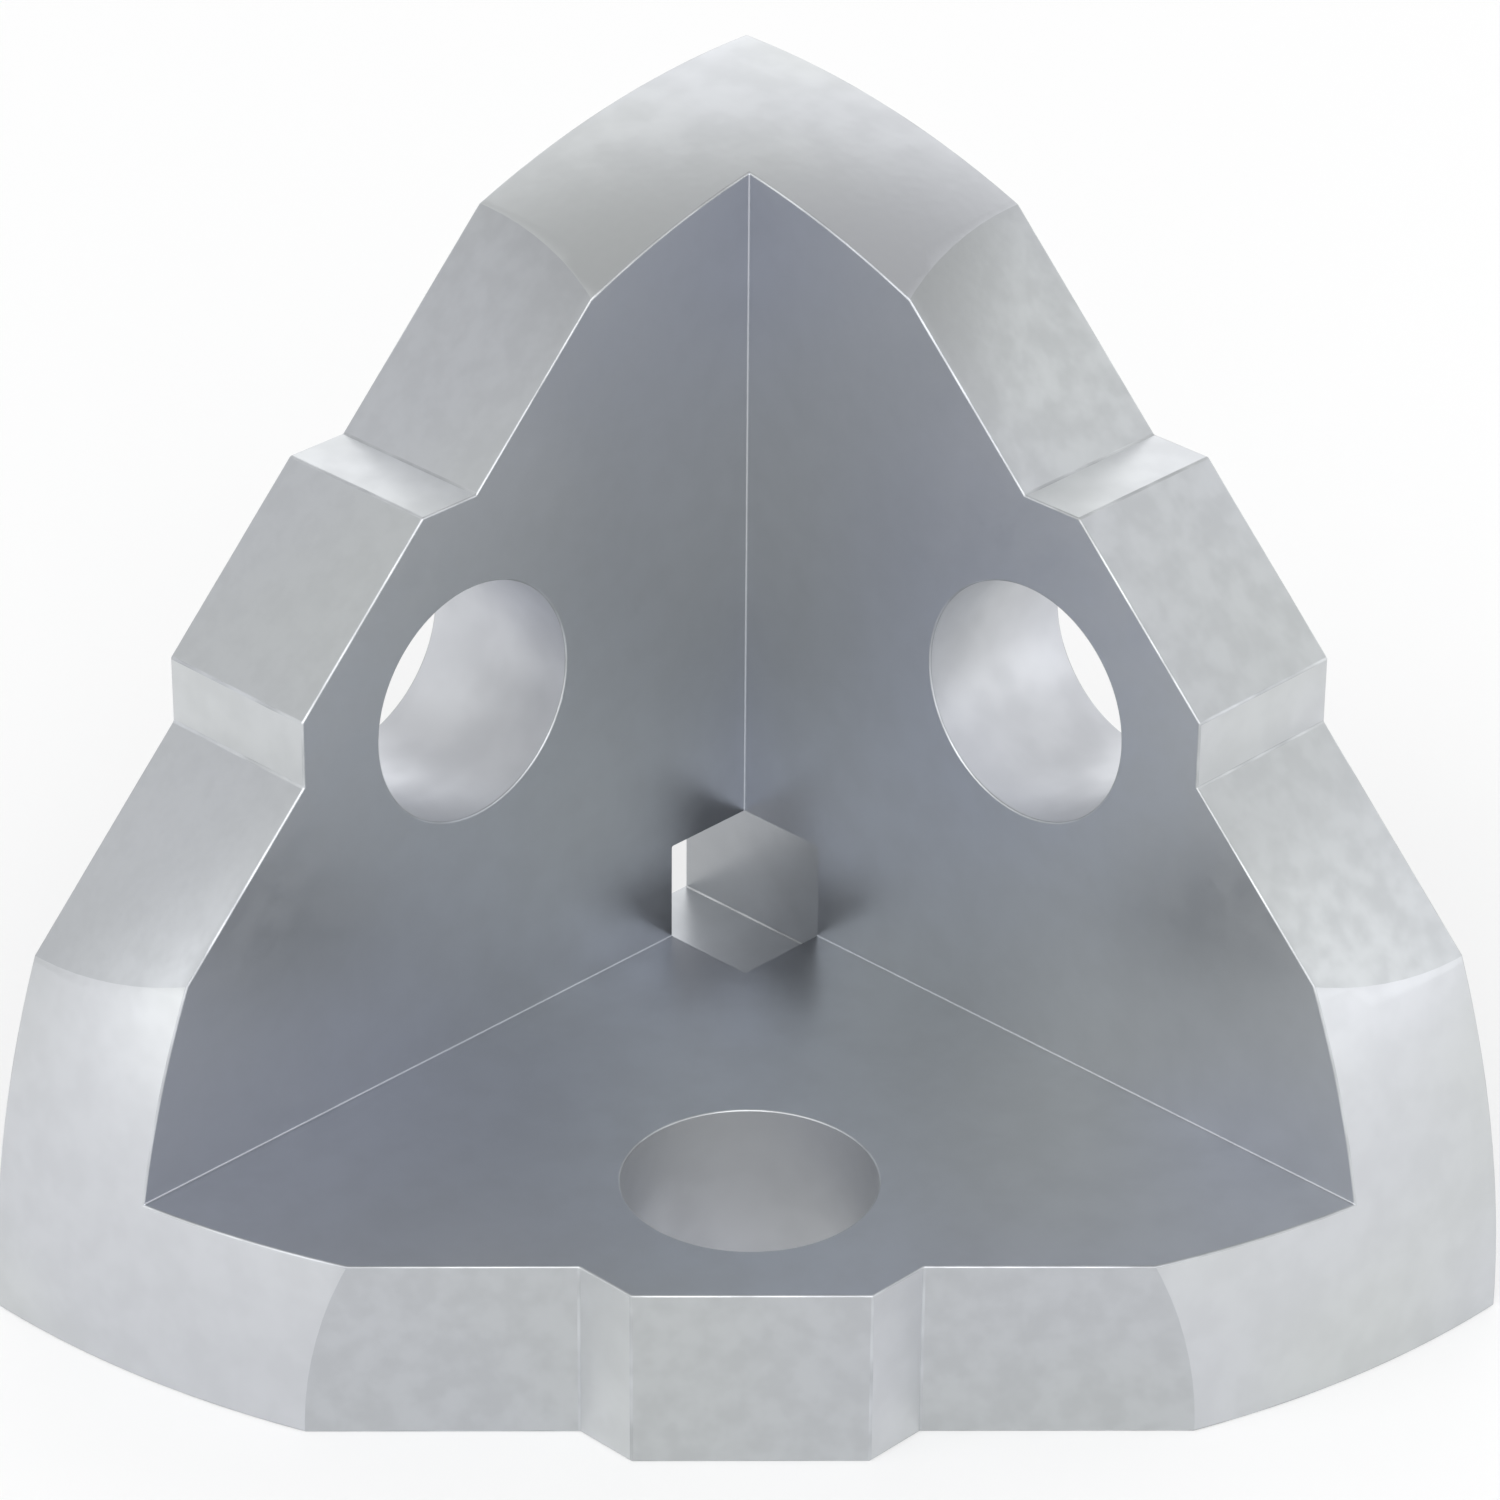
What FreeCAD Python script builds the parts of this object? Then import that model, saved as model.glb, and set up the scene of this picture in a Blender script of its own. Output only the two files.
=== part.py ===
# Three way corner connector for a frame of 30 mm quarter-round bars.
#
# One casting of three equal plates that meet at right angles. The end of a bar
# seats square on the outer face of each plate, and a screw put in from the hollow
# side holds it. The arm ends lie on one ball about the corner of the outer faces,
# so that a round cap can close the hollow and run on smoothly into the bars.
#
# The body is drawn with the corner of its outer faces at (0, 0, 0) and its arms
# along +X, +Y and +Z. It is then moved so that the bore of the bottom plate stands
# on the origin, with the outer face of that plate at z = 0.

import FreeCAD, Part
import math
import os

import Sketcher

os.makedirs("parts", exist_ok=True)
doc = FreeCAD.newDocument("CornerConnector")


# Sizes in millimetres: those that drive the part, then those that follow from them

drivingSizes = (
    ("boreReach", 15.0, "outer faces to a bore's axis, the middle of a 30 mm bar"),
    ("boreDia", 6.6, "clearance bore for an M6 screw"),
    ("boreWall", 2.0, "metal left between a bore and the front of its tab"),
    ("boreChamfer", 0.05, "chamfer on both rims of a bore"),
    ("plateThick", 5.0, "thickness of each plate"),
    ("tabProud", 1.3, "how far a tab stands out from the slanted edge"),
    ("tabFront", 6.0, "length of a tab's front face"),
    ("capGap", 1.1, "room for the cap's catch, from a tab's front out to the ball"),
    ("edgeRound", 0.05, "radius on the casting's edges, inside and out"),
    ("reliefSide", 5.6, "side of the square relief at the inner corner"),
    ("reliefCorner", 0.06, "radius in the corners of the relief"),
)
followingSizes = (
    ("tabReach", "=sqrt(2) * boreReach + boreDia / 2 + boreWall", "outer corner to a tab's front"),
    ("edgeReach", "=tabReach - tabProud", "outer corner to the slanted edge of a plate"),
    ("ballRadius", "=tabReach + capGap", "ball that all arm ends lie on"),
)

sheet = doc.addObject("Spreadsheet::Sheet", "Sizes")
for row, (alias, content, meaning) in enumerate(drivingSizes + followingSizes, start=1):
    sheet.set(f"A{row}", alias)
    sheet.set(f"B{row}", str(content))
    sheet.set(f"C{row}", meaning)
    sheet.setAlias(f"B{row}", alias)
doc.recompute()


# Drawing helpers. A sketch is drawn at about its size, and its dimensions then set it.
# The ends and the centre of a line or arc go by number, as the sketch's origin does.

origin = (-1, 1)
start, end, middle = range(1, 4)


def size(alias):
    return float(sheet.get(alias))


def newSketch(body, name, role, lift=None):
    sketch = body.newObject("Sketcher::SketchObject", name)
    plane = next(f for f in body.Origin.OriginFeatures if f.Role == role)
    sketch.AttachmentSupport = [(plane, "")]
    sketch.MapMode = "FlatFace"
    if lift:
        sketch.setExpression("AttachmentOffset.Base.z", lift)
    return sketch


def fix(sketch, kind, *geometry):
    return sketch.addConstraint(Sketcher.Constraint(kind, *geometry))


def dimension(sketch, name, formula, kind, *geometry):
    sketch.renameConstraint(fix(sketch, kind, *geometry), name)
    sketch.setExpression(f"Constraints.{name}", formula)


def line(sketch, begin, finish, construction=False):
    ends = (FreeCAD.Vector(*begin, 0), FreeCAD.Vector(*finish, 0))
    return sketch.addGeometry(Part.LineSegment(*ends), construction)


def circle(x, y, radius):
    return Part.Circle(FreeCAD.Vector(x, y, 0), FreeCAD.Vector(0, 0, 1), radius)


def arc(sketch, x, y, radius, begin, sweep=90):
    angles = (math.radians(begin), math.radians(begin + sweep))
    return sketch.addGeometry(Part.ArcOfCircle(circle(x, y, radius), *angles))


def polygon(sketch, corners):
    sides = [line(sketch, a, b) for a, b in zip(corners, corners[1:] + corners[:1])]
    for side, following in zip(sides, sides[1:] + sides[:1]):
        fix(sketch, "Coincident", side, end, following, start)
    return sides


def squareUp(sketch, sides):
    for level, upright in (sides[:2], sides[2:]):
        fix(sketch, "Horizontal", level)
        fix(sketch, "Vertical", upright)
    fix(sketch, "Equal", sides[0], sides[1])


def checkCut(feature):
    doc.recompute()
    if feature.Shape.Volume >= feature.BaseFeature.Shape.Volume:
        raise ValueError(f"{feature.Label} takes nothing away")


def edgesBetween(feature, kindA, kindB):
    names = []
    for number, edge in enumerate(feature.Shape.Edges, start=1):
        faces = feature.Shape.ancestorsOfType(edge, Part.Face)
        kinds = [type(face.Surface) for face in faces]
        if kinds in ([kindA, kindB], [kindB, kindA]):
            names.append(f"Edge{number}")
    return names


# A solid block from the outer corner, turned down to the ball that the arm ends lie
# on. The turning axis crosses the corner on the slant, clear of the block, so neither
# of the ball's poles falls on the casting.

def slanted(along, across):
    return ((along - across) / math.sqrt(2), (along + across) / math.sqrt(2))


connector = doc.addObject("PartDesign::Body", "corner_connector")
connector.Label = "corner_connector"
ball = size("ballRadius")
past = 2 * ball

blockSquare = newSketch(connector, "BlockSquare", "XY_Plane")
sides = polygon(blockSquare, [(0, 0), (ball, 0), (ball, ball), (0, ball)])
squareUp(blockSquare, sides)
fix(blockSquare, "Coincident", sides[0], start, *origin)
dimension(blockSquare, "side", "Sizes.ballRadius", "Distance", sides[0], ball)

block = connector.newObject("PartDesign::Pad", "Block")
block.Profile = blockSquare
block.setExpression("Length", "Sizes.ballRadius")
doc.recompute()

ballOutside = newSketch(connector, "BallOutside", "XY_Plane")
turning = line(ballOutside, slanted(0, past), slanted(0, -past), construction=True)
rim = arc(ballOutside, 0, 0, ball, begin=-45, sweep=180)
outline = [(0, -ball), (0, -past), (past, -past), (past, past), (0, past), (0, ball)]
outline = [slanted(*corner) for corner in outline]
sides = [line(ballOutside, a, b) for a, b in zip(outline, outline[1:])]
for side, following in zip(sides, sides[1:] + [rim]):
    joined = end if following == rim else start
    fix(ballOutside, "Coincident", side, end, following, joined)
fix(ballOutside, "Coincident", sides[0], start, rim, start)
fix(ballOutside, "Coincident", rim, middle, *origin)
fix(ballOutside, "Coincident", turning, start, sides[4], start)
fix(ballOutside, "Coincident", turning, end, sides[0], end)
fix(ballOutside, "Symmetric", turning, start, turning, end, *origin)
fix(ballOutside, "PointOnObject", rim, start, turning)
fix(ballOutside, "PointOnObject", rim, end, turning)
fix(ballOutside, "Angle", turning, math.radians(-45))
fix(ballOutside, "Perpendicular", sides[1], turning)
fix(ballOutside, "Perpendicular", sides[3], turning)
fix(ballOutside, "Parallel", sides[2], turning)
dimension(ballOutside, "ball", "Sizes.ballRadius", "Radius", rim, ball)
dimension(ballOutside, "pastBlock", "2 * Sizes.ballRadius", "Distance", sides[1], past)
dimension(ballOutside, "pastArms", "4 * Sizes.ballRadius", "Distance", turning, 2 * past)

ballTurned = connector.newObject("PartDesign::Groove", "BallTurned")
ballTurned.Profile = ballOutside
ballTurned.ReferenceAxis = (ballOutside, ["Axis0"])
ballTurned.Angle = 240
ballTurned.Midplane = True
checkCut(ballTurned)


# The hollow leaves three plates of one thickness

wall = size("plateThick")
far = wall + ball

hollowSquare = newSketch(connector, "HollowSquare", "XY_Plane", lift="Sizes.plateThick")
sides = polygon(hollowSquare, [(wall, wall), (far, wall), (far, far), (wall, far)])
squareUp(hollowSquare, sides)
innerCorner = (sides[0], start)
dimension(hollowSquare, "wallX", "Sizes.plateThick", "DistanceX", *origin, *innerCorner, wall)
dimension(hollowSquare, "wallY", "Sizes.plateThick", "DistanceY", *origin, *innerCorner, wall)
dimension(hollowSquare, "pastBall", "Sizes.ballRadius", "Distance", sides[0], ball)

hollow = connector.newObject("PartDesign::Pocket", "Hollow")
hollow.Profile = hollowSquare
hollow.Type = "ThroughAll"
hollow.Reversed = True
checkCut(hollow)


# The slanted edge of a plate, cut back on both sides of a tab. The tab keeps metal
# in front of the bore, and its flanks are parallel to the plate's arms.

edge, front = size("edgeReach"), size("tabReach")
tip = size("tabFront") / 2
root = tip + size("tabProud")

edgeOutline = newSketch(connector, "EdgeOutline", "XY_Plane", lift="Sizes.plateThick")
diagonal = line(edgeOutline, (0, 0), slanted(front, 0), construction=True)
outline = [(edge, -ball), (edge, -root), (front, -tip), (front, tip), (edge, root)]
outline += [(edge, ball), (edge + ball, ball), (edge + ball, -ball)]
sides = polygon(edgeOutline, [slanted(*corner) for corner in outline])
edgeA, flankA, tabFace, flankB, edgeB, sideB, back, sideA = sides
fix(edgeOutline, "Coincident", diagonal, start, *origin)
fix(edgeOutline, "Angle", diagonal, math.radians(45))
fix(edgeOutline, "Perpendicular", tabFace, diagonal)
fix(edgeOutline, "Symmetric", tabFace, start, tabFace, end, diagonal, end)
fix(edgeOutline, "Vertical", flankA)
fix(edgeOutline, "Horizontal", flankB)
fix(edgeOutline, "Parallel", edgeA, tabFace)
fix(edgeOutline, "Parallel", edgeB, tabFace)
fix(edgeOutline, "Parallel", sideA, diagonal)
fix(edgeOutline, "Parallel", sideB, diagonal)
for left, right in ((flankA, flankB), (edgeA, edgeB), (sideA, sideB)):
    fix(edgeOutline, "Equal", left, right)
dimension(edgeOutline, "front", "Sizes.tabReach", "Distance", diagonal, front)
dimension(edgeOutline, "tab", "Sizes.tabFront", "Distance", tabFace, 2 * tip)
dimension(edgeOutline, "proud", "Sizes.tabProud", "Distance", edgeA, end, tabFace, root - tip)
dimension(edgeOutline, "pastArms", "Sizes.ballRadius", "Distance", edgeA, ball)
dimension(edgeOutline, "pastBall", "Sizes.ballRadius", "Distance", sideA, ball)

edgeCut = connector.newObject("PartDesign::Pocket", "EdgeCut")
edgeCut.Profile = edgeOutline
edgeCut.Type = "ThroughAll"
checkCut(edgeCut)


# The screw's bore, on the axis of the bar that seats on the plate

axis = size("boreReach")

boreCentre = newSketch(connector, "BoreCentre", "XY_Plane", lift="Sizes.plateThick")
ring = boreCentre.addGeometry(circle(axis, axis, size("boreDia") / 2))
dimension(boreCentre, "axisX", "Sizes.boreReach", "DistanceX", *origin, ring, middle, axis)
dimension(boreCentre, "axisY", "Sizes.boreReach", "DistanceY", *origin, ring, middle, axis)
dimension(boreCentre, "bore", "Sizes.boreDia", "Diameter", ring, size("boreDia"))
doc.recompute()

bore = connector.newObject("PartDesign::Hole", "Bore")
bore.Profile = boreCentre
bore.DepthType = "ThroughAll"
bore.DrillPoint = "Flat"
bore.setExpression("Diameter", "Sizes.boreDia")
checkCut(bore)


# Slanted edge and bore are turned about the line through both corners, which carries
# each plate onto the next, so all three plates are the same

throughCorners = connector.newObject("PartDesign::Line", "ThroughCorners")
upwards, outwards = FreeCAD.Vector(0, 0, 1), FreeCAD.Vector(1, 1, 1)
throughCorners.Placement.Rotation = FreeCAD.Rotation(upwards, outwards)

threePlates = connector.newObject("PartDesign::PolarPattern", "ThreePlates")
threePlates.Originals = [edgeCut, bore]
threePlates.Axis = (throughCorners, [""])
threePlates.Angle = 360
threePlates.Occurrences = 3
connector.Tip = threePlates
checkCut(threePlates)


# The bores' rims are chamfered, and the casting's own edges are rounded

boreRims = connector.newObject("PartDesign::Chamfer", "BoreRims")
boreRims.Base = (threePlates, edgesBetween(threePlates, Part.Cylinder, Part.Plane))
boreRims.setExpression("Size", "Sizes.boreChamfer")
checkCut(boreRims)

flatEdges = edgesBetween(boreRims, Part.Plane, Part.Plane)
ballEdges = edgesBetween(boreRims, Part.Sphere, Part.Plane)
castEdges = connector.newObject("PartDesign::Fillet", "CastEdges")
castEdges.Base = (boreRims, flatEdges + ballEdges)
castEdges.setExpression("Radius", "Sizes.edgeRound")
checkCut(castEdges)


# The square relief clears the inner corner and opens through one plate

reliefSquare = newSketch(connector, "ReliefSquare", "XZ_Plane")
relief, corner = size("reliefSide"), size("reliefCorner")
low, high = wall - relief / 2, wall + relief / 2
inLow, inHigh = low + corner, high - corner
sides = [
    line(reliefSquare, (inLow, low), (inHigh, low)),
    line(reliefSquare, (high, inLow), (high, inHigh)),
    line(reliefSquare, (inHigh, high), (inLow, high)),
    line(reliefSquare, (low, inHigh), (low, inLow)),
]
bends = [
    arc(reliefSquare, inHigh, inLow, corner, begin=270),
    arc(reliefSquare, inHigh, inHigh, corner, begin=0),
    arc(reliefSquare, inLow, inHigh, corner, begin=90),
    arc(reliefSquare, inLow, inLow, corner, begin=180),
]
for side, bend, following in zip(sides, bends, sides[1:] + sides[:1]):
    fix(reliefSquare, "Tangent", side, end, bend, start)
    fix(reliefSquare, "Tangent", bend, end, following, start)
squareUp(reliefSquare, sides)
for bend in bends[1:]:
    fix(reliefSquare, "Equal", bends[0], bend)
onCorner = reliefSquare.addGeometry(Part.Point(FreeCAD.Vector(wall, wall, 0)), True)
fix(reliefSquare, "Symmetric", bends[3], middle, bends[1], middle, onCorner, start)
dimension(reliefSquare, "wallX", "Sizes.plateThick", "DistanceX", *origin, onCorner, start, wall)
dimension(reliefSquare, "wallZ", "Sizes.plateThick", "DistanceY", *origin, onCorner, start, wall)
dimension(reliefSquare, "corner", "Sizes.reliefCorner", "Radius", bends[0], corner)
across = (sides[0], end, sides[2], start)
dimension(reliefSquare, "side", "Sizes.reliefSide", "DistanceY", *across, relief)

reliefCut = connector.newObject("PartDesign::Pocket", "ReliefCut")
reliefCut.Profile = reliefSquare
reliefCut.setExpression("Length", "Sizes.plateThick + Sizes.reliefSide / 2")
checkCut(reliefCut)


# The bottom plate's bore stands on the origin

connector.setExpression("Placement.Base.x", "-Sizes.boreReach")
connector.setExpression("Placement.Base.y", "-Sizes.boreReach")
doc.recompute()

for item in doc.Objects:
    if "Invalid" in item.State or "Error" in item.State:
        raise ValueError(f"{item.Label} failed: {item.State}")
shape = connector.Shape
if shape.isNull() or not shape.isValid() or len(shape.Solids) != 1:
    raise ValueError("the connector is not one valid solid")

shape.exportStep(f"parts/{connector.Label}.step")
print(f"{connector.Label}: {shape.Volume:.1f} mm3, {len(shape.Faces)} faces, ball {ball:.2f} mm")
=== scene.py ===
# Studio picture of a three way corner connector in bare, satin cast aluminium
import math

import bpy
from mathutils import Matrix, Quaternion, Vector


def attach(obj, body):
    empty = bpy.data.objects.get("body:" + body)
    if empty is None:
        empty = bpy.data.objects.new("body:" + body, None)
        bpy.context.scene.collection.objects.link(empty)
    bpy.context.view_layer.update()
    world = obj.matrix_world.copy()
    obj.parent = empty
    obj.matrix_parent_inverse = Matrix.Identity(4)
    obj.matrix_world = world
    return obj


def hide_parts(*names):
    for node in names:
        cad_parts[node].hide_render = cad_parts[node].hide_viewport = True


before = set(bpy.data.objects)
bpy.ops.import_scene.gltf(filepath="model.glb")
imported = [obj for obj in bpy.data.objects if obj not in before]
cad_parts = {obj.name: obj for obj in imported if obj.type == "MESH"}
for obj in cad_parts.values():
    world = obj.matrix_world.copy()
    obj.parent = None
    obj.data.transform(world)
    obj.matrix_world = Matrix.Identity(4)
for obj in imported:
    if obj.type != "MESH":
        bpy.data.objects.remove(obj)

scene = bpy.context.scene
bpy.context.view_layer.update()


# Short ways to lay out a node tree

def addNode(tree, kind, **settings):
    made = tree.nodes.new(kind)
    count = len(tree.nodes)
    made.location = (count // 8 * 200, count % 8 * -180)
    for name, value in settings.items():
        setattr(made, name, value)
    return made


def feed(tree, socket, source):
    if isinstance(source, bpy.types.NodeSocket):
        tree.links.new(source, socket)
    else:
        socket.default_value = source


def calc(tree, operation, *sources):
    made = addNode(tree, "ShaderNodeMath", operation=operation)
    for socket, source in zip(made.inputs, sources):
        feed(tree, socket, source)
    return made.outputs[0]


def vectorCalc(tree, operation, *sources):
    made = addNode(tree, "ShaderNodeVectorMath", operation=operation)
    for socket, source in zip(made.inputs, sources):
        feed(tree, socket, source)
    return made.outputs["Value" if operation == "DOT_PRODUCT" else "Vector"]


def vectorOf(tree, *parts):
    made = addNode(tree, "ShaderNodeCombineXYZ")
    for socket, source in zip(made.inputs, parts):
        feed(tree, socket, source)
    return made.outputs[0]


def partsOf(tree, source):
    made = addNode(tree, "ShaderNodeSeparateXYZ")
    feed(tree, made.inputs[0], source)
    return made.outputs


# Metal. The plates keep the even skin of the casting, with broad clouds of a bluer and a
# plainer grey. The band round them is lighter and faintly mottled: ground on the arm ends
# and the tabs' flanks, cut on the slanted faces. Bores and relief are duller, and the
# corners are rubbed bright.

castSkinLook = {
    "cloud": 75, "plain": (0.48, 0.496, 0.508), "cool": (0.48, 0.499, 0.545),
    "mottle": 900, "mottleDepth": 0.03, "smooth": 0.31, "dull": 0.37,
    "grain": 5200, "grainHeight": 0.0000012,
}
groundBandLook = {
    "cloud": 110, "plain": (0.605, 0.625, 0.63), "cool": (0.605, 0.62, 0.65),
    "mottle": 900, "mottleDepth": 0.05, "smooth": 0.32, "dull": 0.37,
    "grain": 3800, "grainHeight": 0.000002,
}
cutFaceLook = {
    "cloud": 90, "plain": (0.52, 0.54, 0.548), "cool": (0.52, 0.537, 0.565),
    "mottle": 1350, "mottleDepth": 0.08, "smooth": 0.30, "dull": 0.37,
    "grain": 4400, "grainHeight": 0.0000016,
}
boredWallLook = {
    "cloud": 110, "plain": (0.64, 0.655, 0.67), "cool": (0.64, 0.655, 0.695),
    "mottle": 600, "mottleDepth": 0.05, "smooth": 0.42, "dull": 0.50,
    "grain": 3800, "grainHeight": 0.000002,
}
brightEdgeLook = {
    "cloud": 160, "plain": (0.59, 0.61, 0.62), "cool": (0.59, 0.61, 0.64),
    "mottle": 700, "mottleDepth": 0.24, "smooth": 0.40, "dull": 0.54,
    "grain": 5200, "grainHeight": 0.000001,
}


def noise(tree, place, scale, detail):
    made = addNode(tree, "ShaderNodeTexNoise")
    feed(tree, made.inputs["Vector"], place)
    made.inputs["Scale"].default_value = scale
    made.inputs["Detail"].default_value = detail
    return made.outputs[0]


def spread(tree, source, low, high):
    made = addNode(tree, "ShaderNodeMapRange", interpolation_type="SMOOTHSTEP")
    feed(tree, made.inputs["Value"], source)
    made.inputs["From Min"].default_value = 0.3  # most of a noise lies between these two
    made.inputs["From Max"].default_value = 0.7
    made.inputs["To Min"].default_value = low
    made.inputs["To Max"].default_value = high
    return made.outputs[0]


def metalFinish(name, look):
    material = bpy.data.materials.new(name)
    material.use_nodes = True
    tree = material.node_tree
    shader = tree.nodes["Principled BSDF"]
    place = addNode(tree, "ShaderNodeTexCoord").outputs["Object"]
    clouds = noise(tree, place, look["cloud"], detail=1)
    mottle = noise(tree, place, look["mottle"], detail=2)
    grain = noise(tree, place, look["grain"], detail=0)
    tint = addNode(tree, "ShaderNodeMix", data_type="RGBA")
    feed(tree, tint.inputs["Factor"], spread(tree, clouds, 0, 1))
    tint.inputs[6].default_value = (*look["plain"], 1)  # sockets 6 and 7 are the two colours
    tint.inputs[7].default_value = (*look["cool"], 1)
    shaded = addNode(tree, "ShaderNodeHueSaturation")
    feed(tree, shaded.inputs["Color"], tint.outputs[2])
    feed(tree, shaded.inputs["Value"], spread(tree, mottle, 1 - look["mottleDepth"], 1))
    feed(tree, shader.inputs["Base Color"], shaded.outputs[0])
    feed(tree, shader.inputs["Roughness"], spread(tree, mottle, look["dull"], look["smooth"]))
    bump = addNode(tree, "ShaderNodeBump")
    bump.inputs["Distance"].default_value = look["grainHeight"]
    feed(tree, bump.inputs["Height"], grain)
    feed(tree, shader.inputs["Normal"], bump.outputs[0])
    shader.inputs["Metallic"].default_value = 1
    return material


castSkin = metalFinish("castSkin", castSkinLook)
groundBand = metalFinish("groundBand", groundBandLook)
cutFace = metalFinish("cutFace", cutFaceLook)
boredWall = metalFinish("boredWall", boredWallLook)
brightEdge = metalFinish("brightEdge", brightEdgeLook)
print("metal finishes made")


# The casting, in mm from the outer corner. An arm's end, a slanted edge with its tab and
# a bore are each drawn once, and turned three times about the line through both corners.

casting = {
    "Plate Thickness": 5.0,
    "Bore Reach": 15.0,
    "Bore Diameter": 6.6,
    "Metal Outside Bore": 2.0,
    "Tab Proud": 1.3,
    "Tab Front": 6.0,
    "Cap Gap": 1.1,
    "Relief Side": 5.6,
    "Cells Per Plate": 8,
    "Bore Facets": 144,
    "Rounded From Angle": 25.0,
}
edgeRounding = {"width": 0.05, "steps": 3}
finishLimits = {
    "square": 0.999,  # a plate's face looks along an axis
    "slanted": 0.708,  # a slanted one looks between two
    "band": 0.3,  # bores and relief lie further in than this from the slanted edges
}
clear = 1.0  # how far a cutter passes the metal
touch = 0.01  # play for a face that lies on a stated plane
weld = 0.001  # points nearer than this become one
metresPerMm = 0.001


def moved(tree, shape, **placing):
    made = addNode(tree, "GeometryNodeTransform")
    feed(tree, made.inputs["Geometry"], shape)
    for name, value in placing.items():
        feed(tree, made.inputs[name], value)
    return made.outputs["Geometry"]


def boxBetween(tree, low, high, counts=(2, 2, 2)):
    lowEnd, highEnd = vectorOf(tree, *low), vectorOf(tree, *high)
    cube = addNode(tree, "GeometryNodeMeshCube")
    feed(tree, cube.inputs["Size"], vectorCalc(tree, "SUBTRACT", highEnd, lowEnd))
    for axis, count in zip("XYZ", counts):
        feed(tree, cube.inputs[f"Vertices {axis}"], count)
    middle = vectorCalc(tree, "ADD", lowEnd, highEnd)
    middle = vectorCalc(tree, "MULTIPLY", middle, (0.5, 0.5, 0.5))
    return moved(tree, cube.outputs["Mesh"], Translation=middle)


def reshaped(tree, shape, place, where=True):
    made = addNode(tree, "GeometryNodeSetPosition")
    feed(tree, made.inputs["Geometry"], shape)
    feed(tree, made.inputs["Selection"], where)
    feed(tree, made.inputs["Position"], place)
    return made.outputs["Geometry"]


def cutBy(tree, body, cutter):
    made = addNode(tree, "GeometryNodeMeshBoolean", operation="DIFFERENCE", solver="EXACT")
    feed(tree, made.inputs["Mesh 1"], body)
    feed(tree, made.inputs["Mesh 2"], cutter)
    return made.outputs["Mesh"]


def realized(tree, shape):
    made = addNode(tree, "GeometryNodeRealizeInstances")
    feed(tree, made.inputs["Geometry"], shape)
    return made.outputs[0]


def turnedThrice(tree, shape):
    points = addNode(tree, "GeometryNodePoints")
    points.inputs["Count"].default_value = 3
    turn = addNode(tree, "FunctionNodeAxisAngleToRotation")
    turn.inputs["Axis"].default_value = (1, 1, 1)
    number = addNode(tree, "GeometryNodeInputIndex").outputs[0]
    feed(tree, turn.inputs["Angle"], calc(tree, "MULTIPLY", number, math.radians(120)))
    made = addNode(tree, "GeometryNodeInstanceOnPoints")
    feed(tree, made.inputs["Points"], points.outputs[0])
    feed(tree, made.inputs["Instance"], shape)
    feed(tree, made.inputs["Rotation"], turn.outputs[0])
    return realized(tree, made.outputs[0])


def workedOut(tree, given):
    at = {"thick": given["Plate Thickness"], "reach": given["Bore Reach"]}
    at["boreRadius"] = calc(tree, "MULTIPLY", given["Bore Diameter"], 0.5)
    metal = calc(tree, "ADD", at["boreRadius"], given["Metal Outside Bore"])
    at["tabReach"] = calc(tree, "MULTIPLY_ADD", at["reach"], math.sqrt(2), metal)
    at["edgeReach"] = calc(tree, "SUBTRACT", at["tabReach"], given["Tab Proud"])
    at["ballRadius"] = calc(tree, "ADD", at["tabReach"], given["Cap Gap"])
    at["pastBall"] = calc(tree, "ADD", at["ballRadius"], clear)
    at["halfRelief"] = calc(tree, "MULTIPLY", given["Relief Side"], 0.5)
    at["place"] = addNode(tree, "GeometryNodeInputPosition").outputs[0]
    at["x"], at["y"], at["z"] = partsOf(tree, at["place"])
    return at


# A block with the hollow taken out leaves three plates
def threePlates(tree, at):
    block = boxBetween(tree, (0, 0, 0), (at["pastBall"],) * 3)
    hollow = boxBetween(tree, (at["thick"],) * 3, (calc(tree, "ADD", at["pastBall"], clear),) * 3)
    return cutBy(tree, block, hollow)


# What lies outside the ball at the end of an arm: a box whose inner side is a grid of
# cells, laid so that no cell's edge falls on a plate's face, and drawn out onto the ball
def armEnd(tree, given, at):
    cellsBefore, platesAcross = 1.5, 2.5
    cell = calc(tree, "DIVIDE", at["thick"], given["Cells Per Plate"])
    low = calc(tree, "MULTIPLY", cell, -cellsBefore)
    high = calc(tree, "MULTIPLY_ADD", at["thick"], platesAcross, low)
    count = calc(tree, "MULTIPLY_ADD", given["Cells Per Plate"], platesAcross, 1)
    near = calc(tree, "SUBTRACT", at["ballRadius"], clear)
    far = calc(tree, "ADD", at["pastBall"], clear)
    box = boxBetween(tree, (near, low, low), (far, high, high), (2, count, count))
    across = vectorOf(tree, 0, at["y"], at["z"])
    left = calc(tree, "POWER", at["ballRadius"], 2)
    left = calc(tree, "SUBTRACT", left, vectorCalc(tree, "DOT_PRODUCT", across, across))
    onBall = vectorOf(tree, calc(tree, "SQRT", left), at["y"], at["z"])
    return reshaped(tree, box, onBall, calc(tree, "LESS_THAN", at["x"], at["ballRadius"]))


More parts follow.
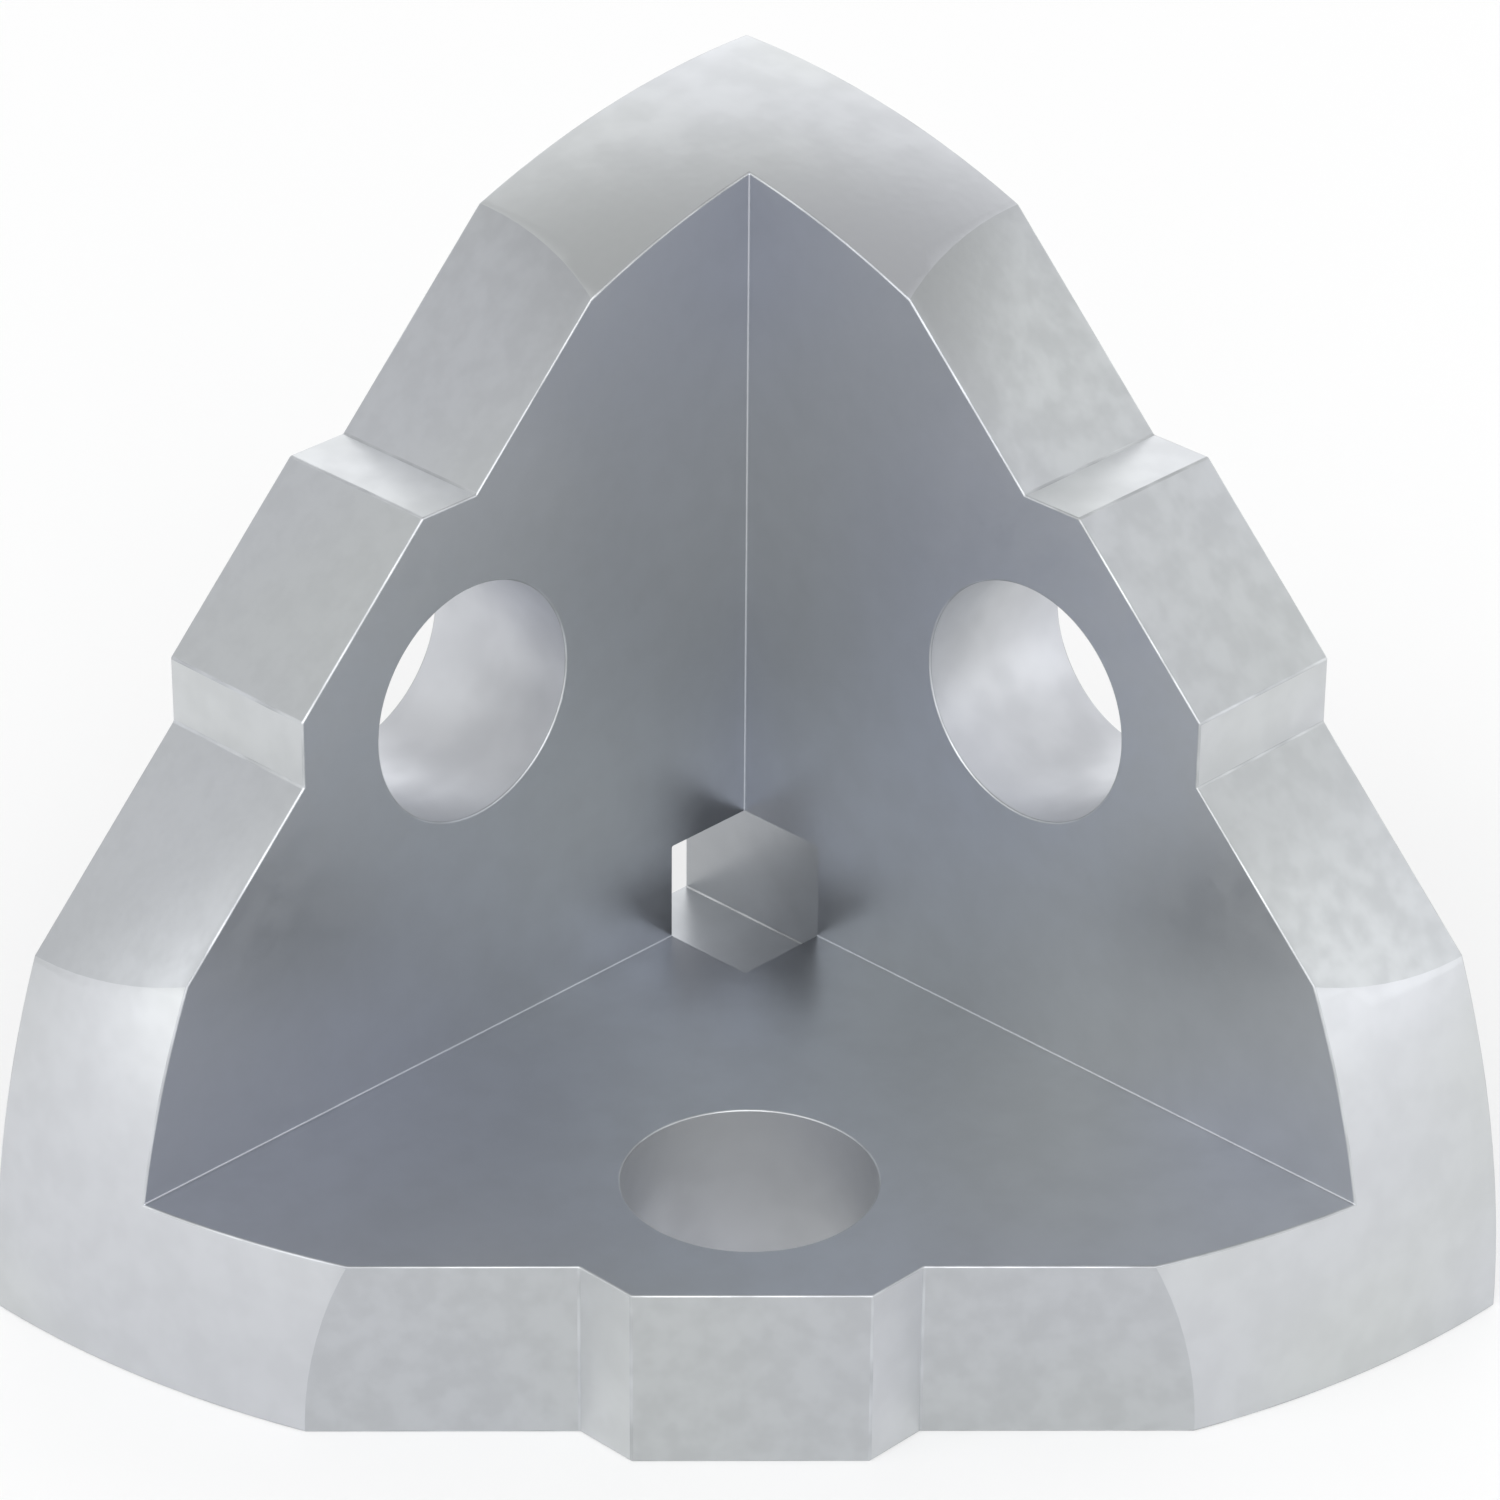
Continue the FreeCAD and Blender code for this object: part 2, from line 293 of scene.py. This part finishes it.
# What lies outside a slanted edge. Its tab flares inwards, one across for one along.
def slantedEdge(tree, given, at):
    spanShare, reachShare = 0.5, 0.65  # of the ball's radius, enough to clear the corner
    halfSpan = calc(tree, "MULTIPLY", at["ballRadius"], spanShare)
    pastCorner = calc(tree, "MULTIPLY_ADD", at["ballRadius"], reachShare, at["edgeReach"])
    pastPlate = calc(tree, "ADD", at["thick"], clear)
    low = (at["edgeReach"], calc(tree, "MULTIPLY", halfSpan, -1), -clear)
    edge = boxBetween(tree, low, (pastCorner, halfSpan, pastPlate))
    tabRoot = calc(tree, "SUBTRACT", at["edgeReach"], 2 * clear)
    tabTop = calc(tree, "ADD", at["thick"], 2 * clear)
    tab = boxBetween(tree, (tabRoot, -1, -2 * clear), (at["tabReach"], 1, tabTop))
    halfTab = calc(tree, "SUBTRACT", at["tabReach"], at["x"])  # the box's half width is one
    halfTab = calc(tree, "MULTIPLY_ADD", given["Tab Front"], 0.5, halfTab)
    flared = vectorOf(tree, at["x"], calc(tree, "MULTIPLY", at["y"], halfTab), at["z"])
    edge = cutBy(tree, edge, reshaped(tree, tab, flared))
    return moved(tree, edge, Rotation=(0, 0, math.radians(45)))


def plateBore(tree, given, at):
    drill = addNode(tree, "GeometryNodeMeshCylinder")
    feed(tree, drill.inputs["Vertices"], given["Bore Facets"])
    feed(tree, drill.inputs["Radius"], at["boreRadius"])
    feed(tree, drill.inputs["Depth"], calc(tree, "ADD", at["thick"], 2 * clear))
    centre = vectorOf(tree, at["reach"], at["reach"], calc(tree, "MULTIPLY", at["thick"], 0.5))
    return moved(tree, drill.outputs["Mesh"], Translation=centre)


# The square relief at the inner corner opens through one plate
def squareRelief(tree, at):
    low = calc(tree, "SUBTRACT", at["thick"], at["halfRelief"])
    high = calc(tree, "ADD", at["thick"], at["halfRelief"])
    return boxBetween(tree, (low, -clear, low), (high, high, high))


# Edges to be rounded: all that turn, except the crisp ones round the relief's mouths. The
# relief runs out downwards along Y, so only its upper end limits it there.
def edgesMarked(tree, body, given, at):
    half = at["halfRelief"]
    x, y, z = [calc(tree, "SUBTRACT", at[axis], at["thick"]) for axis in "xyz"]
    x, z = calc(tree, "ABSOLUTE", x), calc(tree, "ABSOLUTE", z)
    furthest = calc(tree, "MAXIMUM", calc(tree, "MAXIMUM", x, y), z)
    outsideRelief = calc(tree, "GREATER_THAN", furthest, calc(tree, "ADD", half, touch))
    inCorner = calc(tree, "MINIMUM", x, z)
    inCorner = calc(tree, "GREATER_THAN", inCorner, calc(tree, "SUBTRACT", half, touch))
    soft = calc(tree, "MAXIMUM", outsideRelief, inCorner)
    turned = addNode(tree, "GeometryNodeInputMeshEdgeAngle").outputs["Unsigned Angle"]
    least = calc(tree, "RADIANS", given["Rounded From Angle"])
    turned = calc(tree, "GREATER_THAN", turned, least)
    clean = addNode(tree, "GeometryNodeMergeByDistance")
    feed(tree, clean.inputs["Geometry"], body)
    clean.inputs["Distance"].default_value = weld
    weight = addNode(tree, "GeometryNodeStoreNamedAttribute", data_type="FLOAT", domain="EDGE")
    feed(tree, weight.inputs["Geometry"], clean.outputs[0])
    weight.inputs["Name"].default_value = "bevel_weight_edge"
    feed(tree, weight.inputs["Value"], calc(tree, "MULTIPLY", turned, soft))
    crisp = addNode(tree, "GeometryNodeSetShadeSmooth", domain="EDGE")
    feed(tree, crisp.inputs["Geometry"], weight.outputs[0])
    feed(tree, crisp.inputs["Selection"], calc(tree, "GREATER_THAN", turned, soft))
    crisp.inputs["Shade Smooth"].default_value = False
    smooth = addNode(tree, "GeometryNodeSetShadeSmooth", domain="FACE")
    feed(tree, smooth.inputs["Geometry"], crisp.outputs[0])
    return smooth.outputs[0]


def finished(tree, shape, material, where=True):
    made = addNode(tree, "GeometryNodeSetMaterial")
    feed(tree, made.inputs["Geometry"], shape)
    feed(tree, made.inputs["Selection"], where)
    made.inputs["Material"].default_value = material
    return made.outputs[0]


# Each finish has its own faces, told by which way they face and how far out they lie
def finishesGiven(tree, shape, at, limits):
    normal = addNode(tree, "GeometryNodeInputNormal").outputs[0]
    normal = vectorCalc(tree, "ABSOLUTE", normal)
    x, y, z = partsOf(tree, normal)
    squareOn = calc(tree, "MAXIMUM", calc(tree, "MAXIMUM", x, y), z)
    square = calc(tree, "GREATER_THAN", squareOn, limits["square"])
    slanted = calc(tree, "LESS_THAN", squareOn, limits["slanted"])
    depth = vectorCalc(tree, "DOT_PRODUCT", normal, at["place"])
    onPlate = calc(tree, "LESS_THAN", depth, calc(tree, "ADD", at["thick"], touch))
    onPlate = calc(tree, "MULTIPLY", onPlate, square)
    onSlant = calc(tree, "GREATER_THAN", depth, calc(tree, "SUBTRACT", at["edgeReach"], touch))
    onSlant = calc(tree, "MULTIPLY", onSlant, slanted)
    fromCorner = vectorCalc(tree, "DOT_PRODUCT", at["place"], at["place"])
    inside = calc(tree, "POWER", calc(tree, "SUBTRACT", at["edgeReach"], limits["band"]), 2)
    inside = calc(tree, "LESS_THAN", fromCorner, inside)
    shape = finished(tree, shape, groundBand)
    shape = finished(tree, shape, boredWall, inside)
    shape = finished(tree, shape, castSkin, onPlate)
    return finished(tree, shape, cutFace, onSlant)


def castingTree(sizes):
    tree = bpy.data.node_groups.new("threePlateCasting", "GeometryNodeTree")
    for name, value in sizes.items():
        kind = "NodeSocketInt" if isinstance(value, int) else "NodeSocketFloat"
        tree.interface.new_socket(name, in_out="INPUT", socket_type=kind)
    tree.interface.new_socket("Casting", in_out="OUTPUT", socket_type="NodeSocketGeometry")
    given = addNode(tree, "NodeGroupInput").outputs
    at = workedOut(tree, given)
    body = threePlates(tree, at)
    body = cutBy(tree, body, turnedThrice(tree, armEnd(tree, given, at)))
    body = cutBy(tree, body, turnedThrice(tree, slantedEdge(tree, given, at)))
    body = cutBy(tree, body, turnedThrice(tree, plateBore(tree, given, at)))
    body = cutBy(tree, body, squareRelief(tree, at))
    body = realized(tree, edgesMarked(tree, body, given, at))
    result = addNode(tree, "NodeGroupOutput")
    feed(tree, result.inputs["Casting"], finishesGiven(tree, body, at, finishLimits))
    return tree


def castingMesh(sizes, rounding, finishes):
    maker = bpy.data.objects.new("castingMaker", bpy.data.meshes.new("castingMaker"))
    scene.collection.objects.link(maker)
    for material in (None, *finishes):  # the tree's cube comes with an empty first slot
        maker.data.materials.append(material)
    made = maker.modifiers.new("threePlateCasting", "NODES")
    made.node_group = castingTree(sizes)
    for item in made.node_group.interface.items_tree:
        if item.in_out == "INPUT":
            made[item.identifier] = sizes[item.name]
    rounded = maker.modifiers.new("edgeRounding", "BEVEL")
    rounded.limit_method = "WEIGHT"
    rounded.width = rounding["width"]
    rounded.segments = rounding["steps"]
    rounded.use_clamp_overlap = False
    rounded.harden_normals = True
    rounded.material = len(finishes)
    depsgraph = bpy.context.evaluated_depsgraph_get()
    mesh = bpy.data.meshes.new_from_object(maker.evaluated_get(depsgraph))
    bpy.data.objects.remove(maker)
    mesh.name = "castCorner"
    return mesh


def buildCasting(sizes, rounding):
    finishes = (groundBand, boredWall, castSkin, cutFace, brightEdge)
    mesh = castingMesh(sizes, rounding, finishes)
    plate, rubbed = finishes.index(castSkin), finishes.index(brightEdge)
    slots = [face.material_index - 1 for face in mesh.polygons]
    thick = sizes["Plate Thickness"]
    for face in mesh.polygons:
        nearer, near, _ = sorted(face.center)
        inCrease = nearer > thick - touch and near < thick + rounding["width"] + touch
        if slots[face.index] == rubbed and inCrease:
            slots[face.index] = plate  # the creases between the plates aren't rubbed
    mesh.materials.clear()
    for material in finishes:
        mesh.materials.append(material)
    mesh.polygons.foreach_set("material_index", slots)
    shift = Matrix.Translation((-sizes["Bore Reach"], -sizes["Bore Reach"], 0))
    mesh.transform(Matrix.Scale(metresPerMm, 4) @ shift)
    piece = bpy.data.objects.new("castCorner", mesh)
    scene.collection.objects.link(piece)
    return piece


castCorner = buildCasting(casting, edgeRounding)
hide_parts("corner_connector")
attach(castCorner, "root")
print("casting made,", len(castCorner.data.polygons), "faces")


# Floor: pale paper that keeps the object's shadow, a hair below its underside. What the
# camera sees of it, and what the metal mirrors, is lifted to white.

floorSheet = {
    "reach": 1.5,
    "below": 0.00001,
    "colour": (0.60, 0.60, 0.60),
    "roughness": 0.9,
    "shine": 0.0,
    "lift": 0.33,
}


def buildFloor(values):
    reach, height = values["reach"], -values["below"]
    mesh = bpy.data.meshes.new("studioFloor")
    corners = ((-reach, -reach), (reach, -reach), (reach, reach), (-reach, reach))
    mesh.from_pydata([(x, y, height) for x, y in corners], [], [(0, 1, 2, 3)])
    floor = bpy.data.objects.new("studioFloor", mesh)
    scene.collection.objects.link(floor)
    material = bpy.data.materials.new("palePaper")
    material.use_nodes = True
    tree = material.node_tree
    shader = tree.nodes["Principled BSDF"]
    shader.inputs["Base Color"].default_value = (*values["colour"], 1)
    shader.inputs["Roughness"].default_value = values["roughness"]
    shader.inputs["Specular IOR Level"].default_value = values["shine"]
    rays = addNode(tree, "ShaderNodeLightPath").outputs
    seen = calc(tree, "ADD", rays["Is Camera Ray"], rays["Is Glossy Ray"])
    seen = calc(tree, "ADD", seen, rays["Is Transmission Ray"])
    shader.inputs["Emission Color"].default_value = (1, 1, 1, 1)
    lift = calc(tree, "MULTIPLY", seen, values["lift"])
    feed(tree, shader.inputs["Emission Strength"], lift)
    mesh.materials.append(material)
    return floor


buildFloor(floorSheet)
print("floor laid")


# Light: an even pale room, and seven soft boxes round the casting. For each box: the way
# it stands, in degrees round from +X and up from the floor, its width and height, and
# how bright it is.

room = {"colour": (1.0, 1.0, 1.0), "brightness": 0.55}
softBoxes = {
    "distance": 0.45,
    "aim": (-0.004, -0.004, 0.012),
    "boxes": {
        "frontBox": (50, 33, 0.42, 0.40, 2.32),
        "leftBox": (348, 24, 0.34, 0.50, 1.25),
        "farLeftBox": (306, 36, 0.42, 0.34, 0.27),
        "rightBox": (112, 14, 0.50, 0.28, 0.96),
        "farRightBox": (165, 22, 0.30, 0.40, 0.80),
        "backBox": (225, 34, 0.90, 0.25, 0.72),
        "lowBackBox": (225, 12, 0.80, 0.20, 0.74),
    },
}


def buildRoom(values):
    world = bpy.data.worlds.new("paleRoom")
    scene.world = world
    world.use_nodes = True
    background = world.node_tree.nodes["Background"]
    background.inputs["Color"].default_value = (*values["colour"], 1)
    background.inputs["Strength"].default_value = values["brightness"]


def buildSoftBoxes(values):
    for name, (turn, rise, width, height, brightness) in values["boxes"].items():
        turn, rise = math.radians(turn), math.radians(rise)
        data = bpy.data.lights.new(name, "AREA")
        data.shape = "RECTANGLE"
        data.size = width
        data.size_y = height
        data.energy = brightness * math.pi * width * height  # watts for that brightness
        lamp = bpy.data.objects.new(name, data)
        level = math.cos(rise)
        away = Vector((math.cos(turn) * level, math.sin(turn) * level, math.sin(rise)))
        lamp.location = Vector(values["aim"]) + away * values["distance"]
        lamp.rotation_euler = away.to_track_quat("Z", "Y").to_euler()
        scene.collection.objects.link(lamp)


buildRoom(room)
buildSoftBoxes(softBoxes)
print("light set,", len(softBoxes["boxes"]), "soft boxes")


# Camera, as in the photograph: it looks into the hollow from above, leaning by half a
# degree

cameraView = {
    "place": (0.09593, 0.09293, 0.09144),
    "lookAt": (-0.004556, -0.004528, 0.01395),
    "lean": 0.459,
    "sensor": 36,
    "lens": 149.48,
    "clip": (0.01, 10),
}


def buildCamera(values):
    data = bpy.data.cameras.new("photoCamera")
    data.sensor_width = values["sensor"]
    data.lens = values["lens"]
    data.clip_start, data.clip_end = values["clip"]
    camera = bpy.data.objects.new("photoCamera", data)
    camera.location = values["place"]
    looking = Vector(values["lookAt"]) - Vector(values["place"])
    lean = Quaternion((0, 0, 1), math.radians(values["lean"]))
    camera.rotation_euler = (looking.to_track_quat("-Z", "Y") @ lean).to_euler()
    scene.collection.objects.link(camera)
    scene.camera = camera


buildCamera(cameraView)
scene.view_settings.view_transform = "Standard"
print("camera set")
